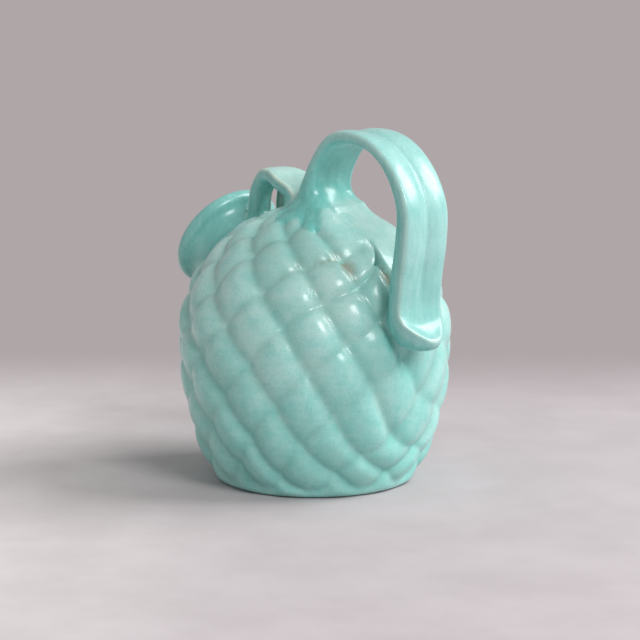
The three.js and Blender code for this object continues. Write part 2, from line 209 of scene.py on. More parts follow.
# How each piece's skin lies in a shared fillet
BODY_SINK = 0.12  # how deep the lower pieces lie under the shared skin
COLLAR_SINK = 0.08
HANDLE_SINK = 0.04
BODY_LIFT = 3.2  # how far the lower pieces can rise into a fillet
COLLAR_LIFT = 2.0
DIP_DEPTH = 0.12  # how a skin dips under its neighbour's
DIP_REACH = 1.2
SKIN_UNDER = 1.5  # how far a piece goes on inside its neighbour
SKIN_PAST = 3.0  # how far it goes on past the fillet's middle

# Casting
PITCH = 0.9  # grid on which the modelled clay is cast
HANDLE_BOX = ((-22, -46, 82), (114, 30, 220))
LOOP_BOX = ((-66, -24, 132), (16, 24, 192))

mouth_turn = math.radians(MOUTH_TILT)
mouth_axis = np.array([-math.cos(mouth_turn), 0, math.sin(mouth_turn)])
mouth_lean = math.radians(MOUTH_TILT - 90)
shoulder = Vector((0, 0, SHOULDER_HEIGHT * MM))


def smoothstep(value, low, high):
    share = np.clip((value - low) / (high - low), 0, 1)
    return share * share * (3 - 2 * share)


def bell(angle, spread):
    return np.exp(-(angle / math.radians(spread)) ** 2)


def mix(a, b, share):
    return a + (b - a) * share


def curve(start, bend, end, count):
    """Points on the arc that leaves its start and meets its end towards the bend"""
    share = np.linspace(0, 1, count)[:, None]
    return ((1 - share) ** 2 * np.array(start) + 2 * share * (1 - share) * np.array(bend)
            + share ** 2 * np.array(end))


def length_along(points):
    return np.concatenate([[0], np.cumsum(np.hypot(*np.diff(points, axis=0).T))])


def read_off(at, along, points):
    """Points read off a line at lengths along it"""
    return np.stack([np.interp(at, along, points[:, i]) for i in (0, 1)], 1)


def body_profile():
    """Points of radius and height, length along them from the shoulder, and the foot's edge"""
    edge_angle = math.asin((FOOT_ROUNDING - SHOULDER_HEIGHT) / BOWL_DEPTH)
    base_radius = BODY_RADIUS * math.cos(math.asin(-SHOULDER_HEIGHT / BOWL_DEPTH))
    edge = curve([base_radius - FOOT_ROUNDING, 0], [base_radius, 0],
                 [BODY_RADIUS * math.cos(edge_angle), FOOT_ROUNDING], FOOT_STEPS)
    parts = [edge]
    for first, last, height in ((edge_angle, 0, BOWL_DEPTH), (0, math.pi / 2, BODY_RADIUS)):
        turn = np.linspace(first, last, PROFILE_STEPS)[1:]
        parts.append(np.stack(
            [BODY_RADIUS * np.cos(turn), SHOULDER_HEIGHT + height * np.sin(turn)], 1))
    points = np.vstack(parts)
    along = length_along(points)
    return points, along - along[len(edge) + PROFILE_STEPS - 2], along[len(edge) - 1]


profile, profile_along, edge_length = body_profile()
below_shoulder = -profile_along[0]
above_shoulder = profile_along[-1]
lowest_row = (-below_shoulder - ROW_LEVEL) / ROW_PITCH
highest_row = (above_shoulder - ROW_LEVEL) / ROW_PITCH


def row_fade(row):
    """One in the middle rows, where dip and lean are full, nought at foot and crown"""
    return (smoothstep(row, lowest_row, lowest_row + CALM_BELOW)
            * (1 - smoothstep(row, highest_row - CALM_ABOVE, highest_row)))


def push(column, row):
    """Turn and rise of a place that the hand pushes give it"""
    turn = np.zeros_like(column)
    rise = np.zeros_like(column)
    for at_column, at_row, round_it, up_it in PUSHES:
        pull = np.exp(-((column - at_column) ** 2 + (row - at_row) ** 2) / PUSH_SPREAD)
        turn += math.radians(round_it) * pull
        rise += up_it * pull
    held = (smoothstep(row, lowest_row, lowest_row + 1)
            * (1 - smoothstep(row, highest_row - 1, highest_row)))
    return turn * held, rise * held


def quilt_to_body(column, row):
    """Angle and length along the profile of a place in the quilting"""
    around = column * math.pi / PILLOW_COUNT
    fade = row_fade(row)
    turn, rise = push(column, row)
    angle = around * (1 - ROW_LEAN * row * fade * bell(around, LEAN_SPREAD)) + turn
    along = ROW_LEVEL + row * ROW_PITCH - ROW_DIP * fade * bell(around, DIP_SPREAD) + rise
    return angle, along


def close_in(angle, along):
    """Column and row of a place on the body, found by closing in on it"""
    around = angle.copy()
    row = (along - ROW_LEVEL) / ROW_PITCH
    for _ in range(40):  # rounds, each a part of the way
        fade = row_fade(row)
        turn, rise = push(around * PILLOW_COUNT / math.pi, row)
        fall = ROW_DIP * fade * bell(around, DIP_SPREAD) - rise
        row = mix(row, (along - ROW_LEVEL + fall) / ROW_PITCH, 0.6)
        lean = np.clip(ROW_LEAN * row * fade * bell(around, LEAN_SPREAD), *LEAN_LIMITS)
        around = mix(around, (angle - turn) / (1 - lean), 0.5)
    return around * PILLOW_COUNT / math.pi, row


# Table of columns and rows, for angle and length along the profile
table_angle = np.linspace(-math.pi, math.pi, 541)
table_along = np.linspace(-below_shoulder, above_shoulder, 331)
table = np.stack(close_in(*np.meshgrid(table_angle, table_along, indexing="ij")), -1)


def body_to_quilt(angle, along):
    """Column and row of a place on the body, read between the table's entries"""
    across = np.clip((angle + math.pi) / (2 * math.pi), 0, 1) * (len(table_angle) - 1)
    up = np.clip((along + below_shoulder) / (below_shoulder + above_shoulder), 0, 1)
    up = up * (len(table_along) - 1)
    i = np.minimum(across.astype(int), len(table_angle) - 2)
    j = np.minimum(up.astype(int), len(table_along) - 2)
    a, b = (across - i)[..., None], (up - j)[..., None]
    near = mix(table[i, j], table[i, j + 1], b)
    far = mix(table[i + 1, j], table[i + 1, j + 1], b)
    both = mix(near, far, a)
    return both[..., 0], both[..., 1]


def round_bottom(depth):
    soft = np.hypot(1 - depth, GROOVE_SOFTNESS) - GROOVE_SOFTNESS
    return 1 - soft / (math.hypot(1, GROOVE_SOFTNESS) - GROOVE_SOFTNESS)


def deep_groove(line):
    """Depth across a band, which rises gently to its crest and rolls over steeply"""
    share = line - np.floor(line)
    rise = np.clip(1 - share / BAND_CREST, 0, 1) ** BAND_RISE
    roll = np.clip((share - BAND_CREST) / (1 - BAND_CREST), 0, 1) ** BAND_ROLL
    return round_bottom(np.maximum(rise, roll))


def crease(line):
    return round_bottom((1 - 2 * np.abs(line - np.round(line))) ** CREASE_SHARPNESS)


def on_mouth_axis(x, y, z):
    """Level along the mouth's axis from the shoulder's middle, and radius round it"""
    level = z - SHOULDER_HEIGHT
    toward = x * mouth_axis[0] + level * mouth_axis[2]
    return toward, np.sqrt(np.maximum(x * x + y * y + level * level - toward * toward, 0))


def plain_zone(angle, along, x, y, z):
    """One where the quilting has its full depth, nought where it has died out"""
    toward, off_axis = on_mouth_axis(x, y, z)
    near, far = [COLLAR_FOOT + away for away in COLLAR_CALM]
    collar = np.where(toward > 0, smoothstep(off_axis, near, far), 1)
    foot = smoothstep(along, SMOOTH_FOOT / 3 - below_shoulder, SMOOTH_FOOT - below_shoulder)
    to_handle = bell(angle - math.radians(HANDLE_CROWN_TURN), HANDLE_CROWN_SPREAD)
    plain = SMOOTH_CROWN + HANDLE_CROWN * to_handle
    crown = 1 - smoothstep(along, above_shoulder - plain, above_shoulder - plain * CROWN_FADE)
    for at_x, at_y, at_z, reach in PLAIN_SPOTS:
        away = (x - at_x) ** 2 + (y - at_y) ** 2 + (z - at_z) ** 2
        crown = crown * (1 - smoothstep(away, reach ** 2, 0))
    return collar * foot * crown


def relief(column, row, angle, along, x, y, z):
    """Depth under the plain form, and how deep in a groove the place lies, nought to one"""
    far_side = smoothstep(np.sin(angle), -SIDE_BAND, SIDE_BAND)
    deep = mix(deep_groove((row + column) / 2), deep_groove((row - column) / 2), far_side)
    slight = mix(crease((row - column) / 2), crease((row + column) / 2), far_side)
    first = np.floor((column + row) / 2)
    second = np.floor((column - row) / 2)
    chance = np.sin(first * SCATTER[0] + second * SCATTER[1]) * SCATTER[2]
    uneven = (chance - np.floor(chance) - 0.5) * 2 * PILLOW_UNEVENNESS
    zone = plain_zone(angle, along, x, y, z)
    shallow = SHALLOW_GROOVE * mix(1.0, SHALLOW_GAIN, smoothstep(row, *SHALLOW_ROWS))
    depth = DEEP_GROOVE * deep + shallow * slight
    depth -= uneven * np.clip(1 - deep, 0, 1) * np.clip(1 - slight, 0, 1)
    off_hollow = (x - HOLLOW_AT[0]) ** 2 + (y - HOLLOW_AT[1]) ** 2
    hollow = LOOP_HOLLOW * np.exp(-off_hollow / HOLLOW_SPREAD) * (z > SHOULDER_HEIGHT)
    return zone * depth + hollow, zone * np.maximum(deep, slight * SHALLOW_NOTE)


def body_place(x, y, z):
    """Distance to the plain form, with the angle and the length along its profile"""
    level = z - SHOULDER_HEIGHT
    out = np.hypot(x, y)
    half = np.where(level > 0, BODY_RADIUS, BOWL_DEPTH)
    share = np.sqrt((out / BODY_RADIUS) ** 2 + (level / half) ** 2)
    slope = np.sqrt((out / BODY_RADIUS ** 2) ** 2 + (level / half ** 2) ** 2) + 1e-9
    distance = share * (share - 1) / slope
    turn = np.arctan2(level / half, out / BODY_RADIUS)
    height = SHOULDER_HEIGHT + half * np.sin(turn)
    return distance, np.arctan2(y, x), np.interp(height, profile[:, 1], profile_along)


def body_distance(x, y, z):
    """Distance to the quilted body, exact enough within a few millimetres of it"""
    x, y, z = np.broadcast_arrays(x, y, z)
    distance, angle, along = body_place(x, y, z)
    near = np.abs(distance) < RELIEF_REACH
    column, row = body_to_quilt(angle[near], along[near])
    depth, _ = relief(column, row, angle[near], along[near], x[near], y[near], z[near])
    distance = distance.copy()
    distance[near] += depth
    return distance


# Straps: a route in the plane y = 0, and a section across it

def route_points(stops, count):
    """Points along a smooth route through the stops, evenly spaced"""
    stops = np.array(stops, float)
    ends = np.vstack([2 * stops[0] - stops[1], stops, 2 * stops[-1] - stops[-2]])
    share = np.linspace(0, 1, 60, endpoint=False)[:, None]
    points = []
    for p0, p1, p2, p3 in zip(ends, ends[1:], ends[2:], ends[3:]):
        pairs = (p0, p1), (p1, p2), (p2, p3)
        d0, d1, d2 = [math.sqrt(np.linalg.norm(b - a)) for a, b in pairs]
        t1 = ((p1 - p0) / d0 - (p2 - p0) / (d0 + d1) + (p2 - p1) / d1) * d1
        t2 = ((p2 - p1) / d1 - (p3 - p1) / (d1 + d2) + (p3 - p2) / d2) * d1
        points.append(p1 + share * t1 + share ** 2 * (3 * (p2 - p1) - 2 * t1 - t2)
                      + share ** 3 * (2 * (p1 - p2) + t1 + t2))
    points = np.vstack(points + [stops[-1:]])
    along = length_along(points)
    even = np.linspace(0, along[-1], count)
    return read_off(even, along, points), even


def place_on_route(route, x, z):
    """Length along the route, offset to its outer side, and distance past its ends"""
    points, along = route
    tangent = np.gradient(points, along, axis=0)
    tangent /= np.linalg.norm(tangent, axis=1)[:, None]
    x, z = np.broadcast_arrays(x, z)
    flat = np.stack([x.ravel(), z.ravel()], 1)
    nearest = np.empty(len(flat), int)
    batch = 20000  # places looked at in one go, to spare memory
    for start in range(0, len(flat), batch):
        part = flat[start:start + batch]
        reach = ((part[:, None, :] - points[None]) ** 2).sum(2)
        nearest[start:start + batch] = reach.argmin(1)
    step = ((flat - points[nearest]) * tangent[nearest]).sum(1)
    at = np.clip(along[nearest] + step, 0, along[-1])
    run = read_off(at, along, tangent)
    run /= np.linalg.norm(run, axis=1)[:, None]
    off = flat - read_off(at, along, points)
    aside = off[:, 1] * run[:, 0] - off[:, 0] * run[:, 1]
    past = np.abs((off * run).sum(1))
    return at.reshape(x.shape), aside.reshape(x.shape), past.reshape(x.shape)


def strap_distance(plan, aside, top, bottom, edge, softer):
    """Distance to a strap from its outline in plan and the levels of its two faces"""
    middle = (top + bottom) / 2
    deep = (top - bottom) / 2
    outward = smoothstep(aside - middle, -0.2 * deep, 0.7 * deep)
    edge = mix(edge * softer, edge, outward)
    edge = np.minimum(edge, deep * 0.9)
    beside = plan + edge
    above = np.abs(aside - middle) - (deep - edge)
    outer = np.sqrt(np.maximum(beside, 0) ** 2 + np.maximum(above, 0) ** 2)
    return outer + np.minimum(np.maximum(beside, above), 0) - edge


def arch(shares, start, end, rise):
    return [(mix(start, end, across), DOME_TOP + rise * up) for across, up in shares]


leg = BODY_RADIUS + HANDLE_STAND
handle_route = route_points([
    (ROOT_X, DOME_TOP - ROOT_DEPTH),
    *arch(HANDLE_ARCH, ROOT_X, leg, HANDLE_RISE),
    (leg - STRAP_THICKNESS / 2, mix(PAD_HEIGHT, DOME_TOP, 0.37)),
    (leg - STRAP_THICKNESS * 0.8, PAD_HEIGHT + PAD_HALF_HEIGHT * 0.3),
    (leg - 3.4, PAD_HEIGHT - PAD_HALF_HEIGHT * 0.3),
    (leg + TONGUE_REACH * 0.28, PAD_HEIGHT - PAD_HALF_HEIGHT * 0.67),
    (leg + TONGUE_REACH, TONGUE_HEIGHT),
    (leg + TONGUE_REACH + 6, TONGUE_HEIGHT - 2.8),  # leads on past the tip
], HANDLE_STEPS)
tip_at = float(place_on_route(
    handle_route, np.array(leg + TONGUE_REACH), np.array(TONGUE_HEIGHT))[0])
loop_route = route_points([
    (-LOOP_FRONT, DOME_TOP - LOOP_DEPTH * 0.7),  # its foot shows a little in the bore
    *arch(LOOP_ARCH, -LOOP_FRONT, -LOOP_BACK, LOOP_RISE),
    (-LOOP_BACK, DOME_TOP - LOOP_DEPTH / 2),
], LOOP_STEPS)


def join(a, b, reach):
    """Two forms run together with a fillet of that reach"""
    share = np.clip(0.5 + 0.5 * (b - a) / reach, 0, 1)
    return mix(b, a, share) - reach * share * (1 - share)


def lump_distance(x, y, z, half_size, middle, turn, tilt):
    """Distance to an egg-shaped lump, turned round its middle and tilted forward"""
    turn, tilt = math.radians(turn), math.radians(tilt)
    x, y, z = x - middle[0], y - middle[1], z - middle[2]
    x, y = x * math.cos(turn) + y * math.sin(turn), y * math.cos(turn) - x * math.sin(turn)
    x, z = x * math.cos(tilt) - z * math.sin(tilt), x * math.sin(tilt) + z * math.cos(tilt)
    long, wide, high = half_size
    share = np.sqrt((x / long) ** 2 + (y / wide) ** 2 + (z / high) ** 2)
    slope = np.sqrt((x / long ** 2) ** 2 + (y / wide ** 2) ** 2 + (z / high ** 2) ** 2) + TINY
    return share * (share - 1) / slope


def handle_section(x, y, z):
    """Where a place lies along the strap, in its outline in plan and between its faces"""
    at, aside, past = place_on_route(handle_route, x, z)
    root = np.exp(-np.maximum(at - ROOT_DEPTH, 0) / ROOT_FADE)
    root_flare = ROOT_FLARE * np.exp(-np.maximum(at - ROOT_DEPTH, 0) / FLARE_FADE)
    from_tip = (tip_at - at) / TONGUE_LENGTH
    tip = np.maximum((at + np.where(at > tip_at, past, 0) - tip_at) / TONGUE_LENGTH + 1, 0)

    # The tongue's end is half an oval, drawn towards the far side
    half = (STRAP_WIDTH + ROOT_SPREAD * root) / 2
    drawn = y - TONGUE_SLANT * np.minimum(tip, 1.2) ** 2
    half = half - np.abs(y - drawn) * TONGUE_TAPER
    share = np.sqrt(tip ** 2 + (drawn / half) ** 2)
    slope = np.sqrt((tip / TONGUE_LENGTH) ** 2 + (drawn / half ** 2) ** 2) + TINY
    plan = share * (share - 1) / slope
    across = np.minimum(np.abs(drawn) / half, 1.3)

    # Outer face: a channel down its middle, falling sides, and the tongue's scoop and rim
    left = np.sqrt(np.clip(1 - tip ** 2, 0.0, 1))
    thick = STRAP_THICKNESS * mix(TIP_THICKNESS, 1, left) + ROOT_SWELL * root
    channel = sum(np.exp(-(across / width) ** 2) * part for width, part in FLUTE_PARTS)
    falling = FLUTE_DEPTH * channel + FACE_FALL * across ** 4
    fluted = falling * smoothstep(from_tip, *FLUTE_END)
    near_rim = 0.3 + 0.7 * smoothstep(-drawn / half, -0.5, 0.6)
    scooped = TONGUE_SCOOP * smoothstep(tip, -0.3, 1) * np.clip(1 - share ** 2, 0, 1)
    dished = TONGUE_DISH * np.minimum(tip, 1) * across ** 2 * near_rim
    leg_share = smoothstep(at, *(tip_at - back for back in LEG_GROWTH))
    top = thick / 2 - fluted + dished - scooped + LEG_CROWN * leg_share

    # Inner face: the leg's swelling, the tongue's belly and the flare at the root
    leg_end = smoothstep(at, *(tip_at - back for back in LEG_END))
    swell = LEG_SWELL * leg_share * (1 - LEG_END_FADE * leg_end)
    belly = TONGUE_SWELL * np.exp(-(from_tip - 0.5) ** 2 / 0.2)
    bottom = -thick / 2 + dished * 0.6 - swell * left - root_flare - belly
    end = np.where(at < 1, past, -9)
    return at, plan, aside, top, bottom, end


def handle_distance(x, y, z):
    _, plan, aside, top, bottom, end = handle_section(x, y, z)
    strap = strap_distance(plan, aside, top, bottom, STRAP_EDGE, SOFTER_INSIDE)
    form = np.maximum(strap, end)
    for *lump, fillet in HANDLE_LUMPS:
        form = join(form, lump_distance(x, y, z, *lump), fillet)
    return form


def loop_section(x, y, z):
    """The same for the small loop"""
    at, aside, past = place_on_route(loop_route, x, z)
    share = at / loop_route[1][-1]
    half = mix(LOOP_WIDTH_FRONT, LOOP_WIDTH_BACK, smoothstep(share, *LOOP_WIDENS)) / 2
    across = np.minimum(np.abs(y) / half, 1.2)
    thick = LOOP_THICKNESS + LOOP_SWELL * smoothstep(share, *LOOP_SWELLS)
    heavy = 1 - smoothstep(share, *LOOP_BELLY_ENDS)
    channel = LOOP_FLUTE * np.exp(-(across / LOOP_FLUTE_WIDTH) ** 2)
    top = thick / 2 - LOOP_FALL * across ** 2 - channel
    bottom = -thick / 2 - LOOP_BELLY * heavy * (1 - 0.5 * np.minimum(across, 1) ** 2)
    end = np.where((share < 0.01) | (share > 0.99), past, -9)
    return at, np.abs(y) - half, aside, top, bottom, end


def loop_distance(x, y, z):
    _, plan, aside, top, bottom, end = loop_section(x, y, z)
    strap = strap_distance(plan, aside, top, bottom, LOOP_EDGE, LOOP_SOFTER_INSIDE)
    wall = lump_distance(x, y, z, *LOOP_WALL)
    return join(np.maximum(strap, end), wall, LOOP_WALL_FILLET)


# Collar section as radius and level on the mouth axis

def collar_section():
    lip_level = BODY_RADIUS + LIP_STAND
    foot_radius = COLLAR_FOOT + FOOT_SPREAD
    foot_level = math.sqrt(BODY_RADIUS ** 2 - foot_radius ** 2)
    start = np.array([foot_radius, foot_level])
    end = np.array([LIP_RADIUS + LIP_ROLL * LIP_START[0], lip_level - LIP_ROLL * LIP_START[1]])
    (in_low, up_low), (in_high, up_high) = NECK_BENDS
    low_bend = np.array([NECK_RADIUS + in_low, foot_level + up_low])
    high_bend = np.array([NECK_RADIUS + in_high, lip_level - LIP_ROLL + up_high])
    share = np.linspace(0, 1, 26)[:, None]
    neck = ((1 - share) ** 3 * start + 3 * share * (1 - share) ** 2 * low_bend
            + 3 * share ** 2 * (1 - share) * high_bend + share ** 3 * end)
    turn = np.radians(np.arange(*LIP_TURNS))
    circle = np.stack([np.cos(turn), np.sin(turn)], 1)
    lip = np.array([LIP_RADIUS, lip_level]) + LIP_ROLL * circle
    throat_top, throat_bend, throat_low = [lip_level - down for down in THROAT_LEVELS]
    throat = curve([LIP_RADIUS - LIP_ROLL, throat_top], [MOUTH_BORE, throat_bend],
                   [MOUTH_BORE, throat_low], 10)
    inner = BODY_RADIUS - WALL + COLLAR_CLEAR
    return np.vstack([neck, lip, throat, [[MOUTH_BORE, inner], [COLLAR_FOOT, inner]]])


def collar_distance(x, y, z):
    """Distance to the collar, worked out only near it"""
    x, y, z = np.broadcast_arrays(x, y, z)
    toward, out = on_mouth_axis(x, y, z)
    distance = np.full(x.shape, 30.0)
    close = (toward > BODY_RADIUS - 25) & (out < LIP_RADIUS + 30)
    place = np.stack([out[close], toward[close]], 1)
    section = collar_section()
    nearest = np.full(len(place), 1e9)
    inside = np.zeros(len(place), bool)
    for a, b in zip(section, np.roll(section, -1, axis=0)):
        along = b - a
        share = np.clip(((place - a) @ along) / max(along @ along, 1e-9), 0, 1)
        nearest = np.minimum(nearest, np.hypot(*(place - a - share[:, None] * along).T))
        crosses = (a[1] > place[:, 1]) != (b[1] > place[:, 1])
        slope = (b[0] - a[0]) / (b[1] - a[1] if abs(b[1] - a[1]) > 1e-9 else 1e-9)
        inside ^= crosses & (place[:, 0] < a[0] + (place[:, 1] - a[1]) * slope)
    distance[close] = np.where(inside, -nearest, nearest)
    return distance


# Clay run together. Each piece keeps its own share of the fillets, and where two pieces
# share one, the skin of the lower piece lies a hair under the skin of the upper one.

def root_fillet(x, y):
    behind = ROOT_FILLET + ROOT_FILLET_GAIN * smoothstep(x, *BEHIND_ROOT)
    round_root = mix(THIN_FILLET, behind, smoothstep(y, *BESIDE_ROOT))
    return np.where(x > PAD_FROM, THIN_FILLET, round_root)


def clay_at(x, y, z):
    """Distances to body, collar, handle, loop and to all of them run together"""
    body = body_distance(x, y, z)
    collar = collar_distance(x, y, z)
    handle = handle_distance(x, y, z)
    loop = loop_distance(x, y, z)
    whole = join(body, collar, COLLAR_FILLET)
    whole = join(whole, handle, root_fillet(x, y))
    whole = join(whole, loop, LOOP_FILLET)
    return body, collar, handle, loop, whole


def own_skin(whole, own, neighbour, fillet, sink):
    """The shared skin round one piece, dipping under its neighbour past the fillet"""
    beyond = np.maximum(own - fillet / 3, 0)
    skin = whole + sink + DIP_DEPTH * (beyond / DIP_REACH) ** 2
    return np.maximum(np.maximum(skin, -neighbour - SKIN_UNDER), own - fillet / 3 - SKIN_PAST)


def handle_form(x, y, z):
    body, _, handle, _, whole = clay_at(x, y, z)
    return own_skin(whole, handle, body, root_fillet(x, y), HANDLE_SINK)


def loop_form(x, y, z):
    body, collar, _, loop, whole = clay_at(x, y, z)
    return own_skin(whole, loop, np.minimum(body, collar), LOOP_FILLET, 0)


def raise_skin(points, normals, sink, limit):
    """Lifts points along their normals on to the fillets of the clay run together"""
    lift = np.zeros(len(points))
    for _ in range(8):
        whole = clay_at(*(points + normals * lift[:, None]).T)[4]
        lift = np.clip(lift - (whole + sink) * 0.8, 0, limit)
    return points + normals * lift[:, None]


def net(value):
    """Points, in grid steps, and four-sided faces where the grid's values change sign"""
    cells = [n - 1 for n in value.shape]
    total = np.zeros((*cells, 3))
    count = np.zeros(cells)
    edges = []
    for axis in range(3):
        lower = [slice(None)] * 3
        upper = [slice(None)] * 3
        lower[axis], upper[axis] = slice(0, -1), slice(1, None)
        a, b = value[tuple(lower)], value[tuple(upper)]
        cut = (a < 0) != (b < 0)
        share = np.where(cut, a / np.where(cut, a - b, 1), 0)
        place = np.moveaxis(np.indices(a.shape, dtype=float), 0, -1)
        place[..., axis] += share
        edges.append((cut, a < 0))
        others = [i for i in range(3) if i != axis]
        for steps in ((0, 0), (0, 1), (1, 0), (1, 1)):
            part = [slice(None)] * 3
            for other, step in zip(others, steps):
                part[other] = slice(step, step + cells[other])
            part = tuple(part)
            total += np.where(cut[part][..., None], place[part], 0)
            count += cut[part]
    used = count > 0
    number = np.full(cells, -1)
    number[used] = np.arange(used.sum())
    faces = []
    for axis, (cut, inward) in enumerate(edges):
        one, two = [i for i in range(3) if i != axis]
        index = np.argwhere(cut)
        limit = (index[:, one] > 0) & (index[:, two] > 0)
        limit &= (index[:, one] < cells[one]) & (index[:, two] < cells[two])
        index = index[limit]
        corners = []
        for steps in ((1, 1), (0, 1), (0, 0), (1, 0)):
            cell = index.copy()
            cell[:, [one, two]] -= steps
            corners.append(number[tuple(cell.T)])
        quads = np.stack(corners, 1)
        turned = inward[tuple(index.T)] == (axis == 1)
        quads[turned] = quads[turned][:, ::-1]
        faces.append(quads)
    return total[used] / count[used][:, None], np.vstack(faces)


def settle(points, form):
    """Moves points down the slope of a form on to its surface"""
    step = 0.25
    for _ in range(3):
        here = form(*points.T)
        slope = np.stack([
            form(*(points + step * unit).T) - form(*(points - step * unit).T)
            for unit in np.eye(3)], 1) / (2 * step)
        steep = np.maximum((slope ** 2).sum(1), 0.2)
        points = points - np.clip(here / steep, -PITCH, PITCH)[:, None] * slope * 0.9
    return points


def cast_clay(name, form, low, high):
    """Closed mesh of the surface where form is nought, within a box"""
    axes = [np.arange(a, b + PITCH, PITCH) for a, b in zip(low, high)]
    value = np.broadcast_to(form(*np.ix_(*axes)), [len(a) for a in axes])
    points, faces = net(np.ascontiguousarray(value))
    points = settle(points * PITCH + np.array([a[0] for a in axes]), form)
    mesh = bpy.data.meshes.new(name)
    mesh.from_pydata((points * MM).tolist(), [], faces.tolist())
    mesh.update()
    return add_object(name, mesh)


def add_object(name, data):
    thing = bpy.data.objects.new(name, data)
    bpy.context.scene.collection.objects.link(thing)
    return thing


def new_piece(name, add, **settings):
    """A piece made by one of the add operators"""
    bpy.ops.object.select_all(action="DESELECT")
    add(**settings)
    piece = bpy.context.object
    piece.name = piece.data.name = name
    return piece


def take(piece):
    bpy.ops.object.select_all(action="DESELECT")
    piece.select_set(True)
    bpy.context.view_layer.objects.active = piece


def work_mesh(piece, *steps):
    """Takes a piece's whole mesh through some steps in edit mode"""
    take(piece)
    bpy.ops.object.mode_set(mode="EDIT")
    for step in steps:
        bpy.ops.mesh.select_all(action="SELECT")
        step()
    bpy.ops.object.mode_set(mode="OBJECT")


def weld():
    bpy.ops.mesh.remove_doubles(threshold=0.01 * MM)


def face_outwards():
    bpy.ops.mesh.normals_make_consistent(inside=False)


def fill_rim():
    bpy.ops.mesh.select_all(action="DESELECT")
    bpy.ops.mesh.select_non_manifold(extend=False, use_multi_face=False,
                                     use_non_contiguous=False, use_verts=False)
    bpy.ops.mesh.edge_face_add()


def points_of(piece):
    flat = np.empty(len(piece.data.vertices) * 3)
    piece.data.vertices.foreach_get("co", flat)
    return flat.reshape(-1, 3) / MM


def set_points(piece, points):
    piece.data.vertices.foreach_set("co", (points * MM).ravel())
    piece.data.update()


def note(piece, name, values):
    """Stores one number a point, for the glaze to read"""
    layer = piece.data.attributes.new(name, "FLOAT", "POINT")
    layer.data.foreach_set("value", np.asarray(values, np.float32))


def cut_away(piece, tool):
    """Cuts a closed tool out of a piece and drops the tool"""
    take(piece)
    cut = piece.modifiers.new("cut", "BOOLEAN")
    cut.operation = "DIFFERENCE"
    cut.solver = "EXACT"
    cut.object = tool
    bpy.ops.object.modifier_apply(modifier=cut.name)
    bpy.data.objects.remove(tool)


# Body: a sheet of columns and rows wrapped round the profile, then hollowed

def on_profile(along):
    return read_off(along, profile_along, profile).T


def quilted_skin():
    columns = 2 * PILLOW_COUNT * QUILT_STEPS
    edge_rows = edge_length / ROW_PITCH
    first = math.ceil((lowest_row + edge_rows) * QUILT_STEPS + 0.5)
    last = math.floor(highest_row * QUILT_STEPS - 0.5)
    rows = np.concatenate([lowest_row + np.linspace(0, edge_rows, FOOT_ROWS),
                           np.arange(first, last + 1) / QUILT_STEPS, [highest_row]])
    skin = new_piece("quilted_body", bpy.ops.mesh.primitive_grid_add,
                     x_subdivisions=columns, y_subdivisions=len(rows) - 1, size=2)
    flat = points_of(skin) * MM
    column = flat[:, 0] * PILLOW_COUNT
    row = rows[np.round((flat[:, 1] + 1) / 2 * (len(rows) - 1)).astype(int)]
    angle, along = quilt_to_body(column, row)
    radius, height = on_profile(along)
    step = 0.05
    lean_out, lean_up = on_profile(along + step) - on_profile(along - step)
    steep = np.hypot(lean_out, lean_up)
    x, y = radius * np.cos(angle), radius * np.sin(angle)
    depth, _ = relief(column, row, angle, along, x, y, height)
    out, up = lean_up / steep, -lean_out / steep
    normals = np.stack([out * np.cos(angle), out * np.sin(angle), up], 1)
    points = np.stack([x, y, height], 1) - normals * depth[:, None]
    high = height > DOME_TOP / 3  # no fillet lies lower
    points[high] = raise_skin(points[high], normals[high], BODY_SINK, BODY_LIFT)
    set_points(skin, points)
    work_mesh(skin, weld, fill_rim, face_outwards)
    return skin


def inside_room():
    """The hollow: a ball whose lower half is drawn down to the floor"""
    inner = BODY_RADIUS - WALL
    room = new_piece("inside_room", bpy.ops.mesh.primitive_uv_sphere_add,
                     segments=96, ring_count=64, radius=inner * MM, location=(0, 0, 0))
    points = points_of(room)
    low = points[:, 2] < 0
    points[low, 2] *= (BOWL_DEPTH - WALL) / inner
    points[:, 2] += SHOULDER_HEIGHT
    points[:, 2] = np.maximum(points[:, 2], FLOOR)
    set_points(room, points)
    work_mesh(room, lambda: bpy.ops.mesh.dissolve_limited(angle_limit=math.radians(0.05)))
    return room


def neck_room():
    """The hole through the body's wall, a little wider than the collar's bore"""
    reach = BODY_RADIUS + LIP_STAND
    room = new_piece(
        "neck_room", bpy.ops.mesh.primitive_cylinder_add,
        vertices=96, radius=(MOUTH_BORE + 0.2) * MM, depth=reach / 2 * MM,
        location=Vector(mouth_axis * reach * 0.75 * MM) + shoulder,
        rotation=(0, mouth_lean, 0))
    bpy.ops.object.transform_apply()
    return room


def make_collar():
    """The section spun round the mouth's axis, then raised into its fillets"""
    section = collar_section()
    collar = new_piece("rolled_collar", bpy.ops.mesh.primitive_circle_add,
                       vertices=len(section), radius=1)
    set_points(collar, np.stack([section[:, 0], np.zeros(len(section)), section[:, 1]], 1))
    work_mesh(collar, lambda: bpy.ops.mesh.spin(
        steps=COLLAR_STEPS, angle=2 * math.pi, center=(0, 0, 0), axis=(0, 0, 1)),
        weld, face_outwards)
    collar.data.transform(
        Matrix.Translation(shoulder) @ Matrix.Rotation(mouth_lean, 4, "Y"))
    points = points_of(collar)
    normals = np.empty(points.size)
    collar.data.vertex_normals.foreach_get("vector", normals)
    outer = body_distance(*points.T) > -0.5
    outer &= on_mouth_axis(*points.T)[1] > NECK_RADIUS - 2
    points[outer] = raise_skin(
        points[outer], normals.reshape(-1, 3)[outer], COLLAR_SINK, COLLAR_LIFT)
    set_points(collar, points)
    return collar


